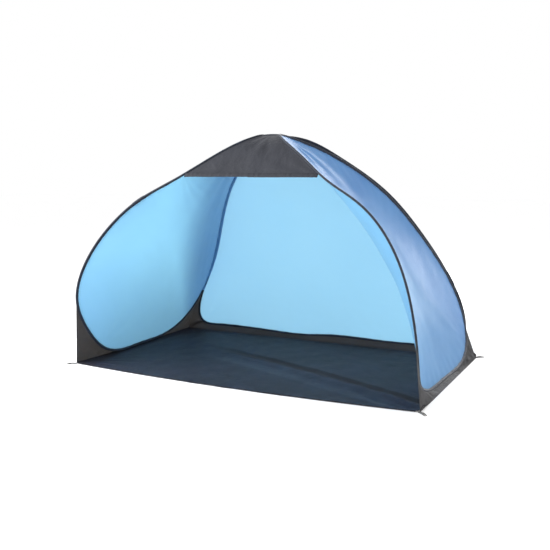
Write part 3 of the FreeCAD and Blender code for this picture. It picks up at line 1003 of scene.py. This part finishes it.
# ---------------------------------------------------------------- rear seams
def rear_seam(side, hoop):
    """The tape that joins the two sleeves of a seam, and the cloth facing over them inside."""
    word = "right" if side > 0 else "left"
    picks = hoop.stretch(at(side, *WEB_TOP), at(side, *SEAM_TOP), 210)
    wing_line = hoop.line[picks]
    back_picks = [back_hoop.nearest(point) for point in wing_line]
    back_line = back_hoop.line[back_picks]
    strip(
        word + "_seam_tape", wing_line, back_line, 5, 0.0006, 51, None, with_body,
        tape,
    )
    picks, back_picks = picks[:-FACING_END], back_picks[:-FACING_END]
    wing_line, back_line = wing_line[:-FACING_END], back_line[:-FACING_END]
    first = wing_line + hoop.inward[picks] * (SLEEVE_TAIL + 0.0005)
    last = back_line + back_hoop.inward[back_picks] * (SLEEVE_TAIL + 0.0005)
    inwards = unit(hoop.inward[picks] + back_hoop.inward[back_picks])
    apart = np.linalg.norm(wing_line - back_line, axis=1, keepdims=True)
    crown = np.minimum(FACING_MOST, FACING_CROWN + 0.35 * apart)
    crown = (wing_line + back_line) / 2 + inwards * crown
    share = np.linspace(0, 1, 9)[:, None, None]
    points = first * (1 - share) ** 2 + crown * 2 * share * (1 - share) + last * share**2
    slack = 0.0006 * ripple(points, 0.05, 53) * np.sin(np.pi * share[..., 0])
    points = points + slack[..., None] * inwards
    run = run_along(wing_line)
    wide = np.linalg.norm(points[1:] - points[:-1], axis=-1).mean(axis=1)
    wide = np.append(0, np.cumsum(wide))
    pairs = np.stack(np.broadcast_arrays(wide[:, None], run[None, :]), axis=-1)
    piece = skin(word + "_seam_facing", points, {"cloth": pairs, "edge": pairs})
    thickened(piece, CLOTH_THICK)
    finished(piece, wing_cloth)
    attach(piece, BODY)
    size = (round(float(run[-1]) + 0.02, 3), round(float(wide[-1]) * 1.1, 3))
    min(area_of(points), size[0] * size[1])


rear_seam(1, right_hoop)
rear_seam(-1, left_hoop)


# ---------------------------------------------------------------- awning
def awning_edge(hoop, side):
    """The line that the awning shares with a wing's front edge, and a bit of its rear one."""
    picks = hoop.stretch(at(side, *AWNING_REAR), at(side, *AWNING_CORNER), 90)
    line = hoop.line[picks]
    middle = line * np.array((0.0, 1.0, 1.0))
    return toward(line, middle, hoop, picks, SLEEVE_ROUND * 0.7)


def awning_half(side, hoop, fold, name):
    edge = awning_edge(hoop, side)
    share = np.linspace(0, 1, 70)
    flat = np.stack([edge * np.array((t, 1.0, 1.0)) for t in share], axis=0)
    down = np.linspace(0, 1, len(edge))
    hold = (1 - share**4)[:, None] * ease(down, 0.0, 0.15)[None, :]
    folds = [
        (at(1, *AWNING_CORNER), at(1, 0.05, -0.20, 0.93), 0.0026, 0.5, 7),
        (at(-1, *AWNING_CORNER), at(-1, 0.05, -0.20, 0.93), 0.0026, 0.5, 7),
        (at(1, 0.0, -0.09, 0.99), at(1, 0.0, -0.27, 0.88), 0.0022, 0.9, 9),
    ]
    lift = 0.0022 * ripple(flat, 0.16, 61) + 0.0016 * crumple(flat, 0.08, 62)
    lift = lift + fans(flat, CANOPY_UP, folds)
    points = flat + (hold * (lift - 0.004))[..., None] * CANOPY_UP
    run = run_along(edge)
    crown = (1 - share**2)[:, None] * (np.exp(-((run - 0.02) / 0.06) ** 2))[None, :]
    points[..., 2] += 0.003 * crown
    pairs = np.stack([points[..., 0], np.repeat(run[None], 70, axis=0)], axis=-1)
    gap = np.abs(edge[:, 0])[None, :] * (1 - share[:, None])
    rim = np.stack([gap, pairs[..., 1]], axis=-1)
    if side < 0:
        points, pairs, rim = points[::-1], pairs[::-1], rim[::-1]
    piece = skin(name, points, {"cloth": pairs, "edge": rim})
    thickened(piece, CLOTH_THICK)
    finished(piece, awning_cloth, ("awning",))
    fold.with_awning(piece)
    size = (round(abs(float(edge[-1, 0])) + 0.01, 3), round(float(run[-1]) + 0.01, 3))
    area = max(area_of(points), 0.31 * size[0] * size[1])
    return edge


def hem_half(edge, fold, name):
    """The awning's lower hem: the cloth turned up twice into a flat, soft band."""
    low, before = edge[-1], edge[-6]
    slope = unit((low - before) * np.array((0.0, 1.0, 1.0)))
    x = np.linspace(0, low[0], 70)
    line = np.stack([x, np.full(70, low[1]), np.full(70, low[2])], axis=-1)
    turn = 2 * math.pi * np.arange(17) / 16
    wide, thick = 0.0125, 0.0017
    puff = 1 + 0.25 * ripple(line, 0.03, 65)
    bow = 0.0006 * ripple(line, 0.15, 66)
    across = wide * (0.8 + np.sign(np.cos(turn)) * np.abs(np.cos(turn)) ** 0.6)
    rise = thick * (1 + np.sign(np.sin(turn)) * np.abs(np.sin(turn)) ** 0.6)
    points = line[None] + across[:, None, None] * slope
    points = points + (rise[:, None] * puff + bow)[..., None] * CANOPY_UP
    edge_gap = np.abs(across - across.min())[:, None] + 0 * x[None]
    pairs = np.stack([edge_gap, x[None] + 0 * edge_gap], axis=-1)
    piece = skin(name, points, {"cloth": pairs, "edge": pairs})
    mend(piece)
    finished(piece, awning_cloth, ("awning_hem",))
    fold.with_awning(piece)


lower = awning_half(1, right_hoop, right_fold, "awning_cloth_right")
hem_half(lower, right_fold, "awning_hem_band_right")
lower = awning_half(-1, left_hoop, left_fold, "awning_cloth_left")
hem_half(lower, left_fold, "awning_hem_band_left")


def ridge_binding():
    """The tape that carries on from one wing's sleeve to the other's, over the awning's top edge."""
    start = left_hoop.line[np.argmax(left_hoop.line[:, 2])]
    end = right_hoop.line[np.argmax(right_hoop.line[:, 2])]
    share = np.linspace(0, 1, 40)[:, None]
    line = start * (1 - share) + end * share
    line[:, 2] += 0.001 * np.sin(np.pi * share[:, 0])
    turn = 2 * math.pi * np.arange(17) / 16
    pucker = 1 + 0.05 * ripple(line, 0.03, 57)
    ends = 0.55 + 0.45 * np.sin(np.pi * share[:, 0]) ** 0.4
    round_y = np.cos(turn)[:, None] * BINDING_WIDE * pucker * ends
    round_z = np.sin(turn)[:, None] * BINDING_THICK * pucker * ends
    points = line[None] + np.stack([0 * round_y, round_y, round_z], axis=-1)
    run = run_along(line)
    around = np.abs(np.sin(turn / 2))[:, None] * 0.017 + 0 * run[None]
    pairs = np.stack([around, run[None] + 0 * around], axis=-1)
    piece = skin("ridge_binding", points, {"cloth": pairs, "edge": pairs})
    mend(piece)
    finished(piece, tape)
    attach(piece, BODY)


ridge_binding()


# ---------------------------------------------------------------- peg loops and eyelets
def peg_loop(corner):
    """A strip of webbing that rises a little off the ground round its pressed eyelet."""
    low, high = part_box(corner + "_peg_loop")
    ring_low, ring_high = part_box(corner + "_eyelet")
    hole = (ring_low + ring_high) / 2
    sx, sy = math.copysign(1, hole.x), math.copysign(1, hole.y)
    out = Vector((sx, sy, 0)).normalized()
    side = Vector((-out.y, out.x, 0))
    width, thick = 0.016, high.z - low.z
    tip = 0.010
    root = -(hole - Vector((sx * (HALF_WIDTH - 0.006), sy * (HALF_DEPTH - 0.006), hole.z))).length

    bpy.ops.object.select_all(action="DESELECT")
    bpy.ops.mesh.primitive_cube_add(size=1, location=((root + tip) / 2, 0, low.z + thick / 2))
    loop = bpy.context.object
    loop.name = corner + "_loop_webbing"
    loop.scale = (tip - root, width, thick)
    bpy.ops.object.transform_apply(location=True, rotation=False, scale=True)
    bpy.ops.object.mode_set(mode="EDIT")
    bpy.ops.mesh.select_all(action="SELECT")
    bpy.ops.mesh.subdivide(number_cuts=20)
    bpy.ops.object.mode_set(mode="OBJECT")
    for vertex in loop.data.vertices:
        x, y, z = vertex.co
        along = (x - root) / (tip - root)
        if x > 0:
            vertex.co.y *= math.sqrt(max(0.15, 1 - (x / tip) ** 4 * 0.6))
        bulge = 0.0035 * math.sin(math.pi * along) ** 2
        curl = 0.0005 * math.sin(y / width * 2 * math.pi) * along
        vertex.co.z = z + max(0.0, bulge + curl)
    cut_hole(loop, 0.0068, low.z)
    softened(loop, 0.0005)
    planar_map(loop)
    put_at(loop, hole, out, side)
    finished(loop, webbing, (corner + "_peg_loop",))
    return loop, hole, out, side


def cut_hole(loop, radius, ground):
    """Opens the webbing for the eyelet's barrel."""
    bpy.ops.object.select_all(action="DESELECT")
    bpy.ops.mesh.primitive_cylinder_add(vertices=32, radius=radius, depth=0.03, location=(0, 0, ground))
    punch = bpy.context.object
    only(loop)
    cut = loop.modifiers.new("hole", "BOOLEAN")
    cut.object = punch
    cut.solver = "EXACT"
    bpy.ops.object.modifier_apply(modifier=cut.name)
    bpy.data.objects.remove(punch)


def softened(piece, width):
    only(piece)
    bevel = piece.modifiers.new("softened edge", "BEVEL")
    bevel.width = width
    bevel.segments = 2
    bevel.limit_method = "ANGLE"
    bpy.ops.object.modifier_apply(modifier=bevel.name)


def planar_map(piece):
    """UVs in metres: across the webbing and along it."""
    for label in ("cloth", "edge"):
        layer = piece.data.uv_layers.get(label) or piece.data.uv_layers.new(name=label)
        for loop in piece.data.loops:
            point = piece.data.vertices[loop.vertex_index].co
            layer.data[loop.index].uv = (point.y, point.x)


def put_at(piece, hole, out, side):
    """Moves a piece made round the origin to an eyelet, pointing away from the floor."""
    for vertex in piece.data.vertices:
        x, y, z = vertex.co
        vertex.co = Vector((hole.x, hole.y, 0)) + out * x + side * y + Vector((0, 0, z))


def eyelet(corner, hole, out, side):
    """A pressed eyelet: a barrel with both its ends rolled over the webbing."""
    low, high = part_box(corner + "_eyelet")
    bore = 0.005
    rim = (high.x - low.x) / 2
    height = high.z - low.z
    bpy.ops.object.select_all(action="DESELECT")
    bpy.ops.mesh.primitive_cylinder_add(
        vertices=48, radius=bore, depth=height - 0.0008, end_fill_type="NOTHING",
        location=(0, 0, low.z + height / 2),
    )
    ring = bpy.context.object
    ring.name = corner + "_eyelet_ring"
    bpy.ops.object.mode_set(mode="EDIT")
    for sign in (1, -1):
        for out_by, down_by in ((0.0006, 0.0004), (0.0012, 0.0), (rim - bore - 0.0014, -0.0006)):
            bpy.ops.mesh.select_all(action="DESELECT")
            bpy.ops.object.mode_set(mode="OBJECT")
            outer = max(v.co.z * sign for v in ring.data.vertices)
            radius = max(v.co.xy.length for v in ring.data.vertices if v.co.z * sign > outer - 1e-6)
            if down_by < 0:
                level = [v for v in ring.data.vertices if abs(v.co.z * sign - outer) < 1e-6]
                for v in level:
                    v.select = abs(v.co.xy.length - radius) < 1e-6
            else:
                for v in ring.data.vertices:
                    v.select = v.co.z * sign > outer - 1e-6 and abs(v.co.xy.length - radius) < 1e-6
            bpy.ops.object.mode_set(mode="EDIT")
            bpy.ops.mesh.select_mode(type="VERT")
            bpy.ops.mesh.extrude_region_move()
            scale = (radius + out_by) / radius
            bpy.ops.transform.resize(value=(scale, scale, 1))
            bpy.ops.transform.translate(value=(0, 0, down_by * sign))
    bpy.ops.object.mode_set(mode="OBJECT")
    bpy.ops.object.transform_apply(location=True, rotation=False, scale=True)
    only(ring)
    wall = ring.modifiers.new("wall", "SOLIDIFY")
    wall.thickness = 0.0004
    wall.offset = 0
    bpy.ops.object.modifier_apply(modifier=wall.name)
    bpy.ops.object.mode_set(mode="EDIT")
    bpy.ops.mesh.select_all(action="SELECT")
    bpy.ops.mesh.normals_make_consistent(inside=False)
    bpy.ops.object.mode_set(mode="OBJECT")
    planar_map(ring)
    put_at(ring, hole, out, side)
    finished(ring, eyelet_metal, (corner + "_eyelet",))
    return ring


for corner in ("front_left", "front_right", "back_left", "back_right"):
    loop, hole, out, side = peg_loop(corner)
    ring = eyelet(corner, hole, out, side)
    body = BODY if corner.startswith("back") else corner.split("_")[1] + "_wing"
    for piece in (loop, ring):
        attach(piece, body)


# ---------------------------------------------------------------- studio
def studio():
    """A wide, flat, pale floor that glows a little, an even pale surround, and the lamps."""
    bpy.ops.object.select_all(action="DESELECT")
    bpy.ops.mesh.primitive_plane_add(size=GROUND_SIZE, location=(0, 0, GROUND_LEVEL))
    ground = bpy.context.object
    ground.name = "studio_floor"
    finish = Finish("studio floor", colour(238, 238, 238), 0.9, specular=0.1)
    grain = finish.noise(3.0, 2.0)
    finish.set("Base Color", finish.mix(grain, colour(240, 240, 240), colour(236, 236, 236)))
    finish.set("Emission Color", colour(255, 255, 255))
    finish.set("Emission Strength", GROUND_GLOW)
    ground.data.materials.append(finish.material)

    world = bpy.data.worlds.new("studio")
    world.use_nodes = True
    world.node_tree.nodes["Background"].inputs[0].default_value = (1.0, 1.0, 1.0, 1.0)
    world.node_tree.nodes["Background"].inputs[1].default_value = WORLD_LIGHT
    bpy.context.scene.world = world
    for name, place, size, power in LIGHTS:
        light = bpy.data.lights.new(name, "AREA")
        light.size = size
        light.energy = power
        lamp = bpy.data.objects.new(name, light)
        lamp.location = place
        lamp.rotation_euler = (LAMP_AIM - Vector(place)).to_track_quat("-Z", "Y").to_euler()
        bpy.context.scene.collection.objects.link(lamp)


GROUND_SIZE = 60
GROUND_LEVEL = -0.0006    # just under the tent's lowest cloth
GROUND_GLOW = 0.14
WORLD_LIGHT = 1.0
LAMP_AIM = Vector((0, 0, 0.5))
LIGHTS = (
    ("key over the back", (0.4, 4.6, 3.8), 2.6, 165.0),
    ("low glow behind", (1.5, 4.6, 1.3), 1.6, 80.0),
    ("front fill", (-2.8, -4.2, 3.2), 3.6, 60.0),
    ("left glow", (-1.9, -1.2, 1.75), 0.9, 64.0),
)
studio()
bpy.context.scene.view_settings.view_transform = "Standard"

# The camera stands to the right of the open front, a little above the middle.
CAMERA_PLACE = (1.904, -3.817, 1.055)
CAMERA_TURN = 26.845
CAMERA_DOWN = 7.454
CAMERA_LENS = 49.57
lens = bpy.data.cameras.new("camera")
lens.lens = CAMERA_LENS
lens.sensor_width = 36
camera = bpy.data.objects.new("camera", lens)
camera.location = CAMERA_PLACE
camera.rotation_euler = (math.radians(90 - CAMERA_DOWN), 0, math.radians(CAMERA_TURN))
bpy.context.scene.collection.objects.link(camera)
bpy.context.scene.camera = camera
